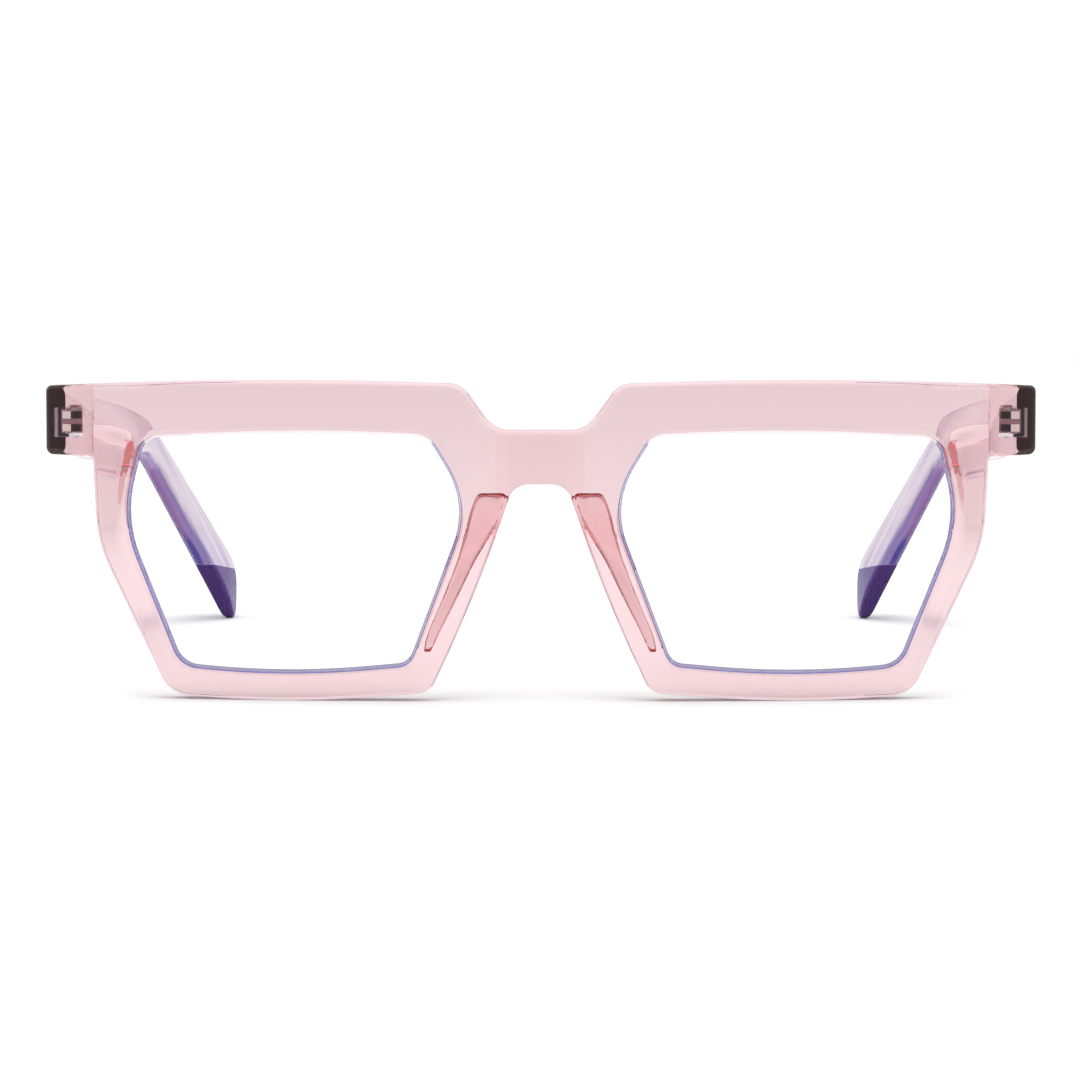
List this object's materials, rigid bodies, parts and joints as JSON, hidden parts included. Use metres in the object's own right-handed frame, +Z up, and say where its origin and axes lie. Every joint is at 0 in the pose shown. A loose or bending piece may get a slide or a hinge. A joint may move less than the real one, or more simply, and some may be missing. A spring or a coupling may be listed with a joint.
{
  "type": "blue light glasses",
  "caption": "Full-rim eyeglasses with a thick angular clear-pink front, six-sided lenses, sunk hinges and folding wire-cored temples with dark tips.",
  "frame": {"origin": "on the surface that the open glasses stand on, under the middle of the whole frame", "axes": "+Z up, -Y the way the front of the glasses faces, +Y back along the temples, +X to the wearer's left"},
  "size_m": [0.1422, 0.15, 0.0458],
  "materials": {
    "pink_acetate": "polished see-through acetate",
    "coated_lens": "clear resin with a blue-reflecting coating",
    "hinge_metal": "nickel silver, satin",
    "screw_steel": "bright",
    "lilac_acetate": "polished see-through acetate with violet streaks",
    "purple_acetate": "polished solid acetate",
    "wire_steel": "drawn"
  },
  "bodies": {
    "front": {"front_frame": "pink_acetate", "lens_left": "coated_lens", "lens_right": "coated_lens", "nose_pad_left": "pink_acetate", "nose_pad_right": "pink_acetate", "hinge_front_leaf_left": "hinge_metal", "hinge_front_leaf_right": "hinge_metal", "hinge_screw_left": "screw_steel", "hinge_screw_right": "screw_steel"},
    "left_temple": {"temple_left": "lilac_acetate", "temple_tip_left": "purple_acetate", "core_wire_left": "wire_steel", "hinge_temple_leaf_left": "hinge_metal"},
    "right_temple": {"temple_right": "lilac_acetate", "temple_tip_right": "purple_acetate", "core_wire_right": "wire_steel", "hinge_temple_leaf_right": "hinge_metal"}
  },
  "joints": [
    {"name": "left_temple_fold", "type": "hinge", "parent": "front", "child": "left_temple", "pos_m": [0.0669, -0.06214, 0.0397], "axis": [0, 0, 1], "range_deg": [0, 87]},
    {"name": "right_temple_fold", "type": "hinge", "parent": "front", "child": "right_temple", "pos_m": [-0.0669, -0.06214, 0.0397], "axis": [0, 0, -1], "range_deg": [0, 72]}
  ]
}
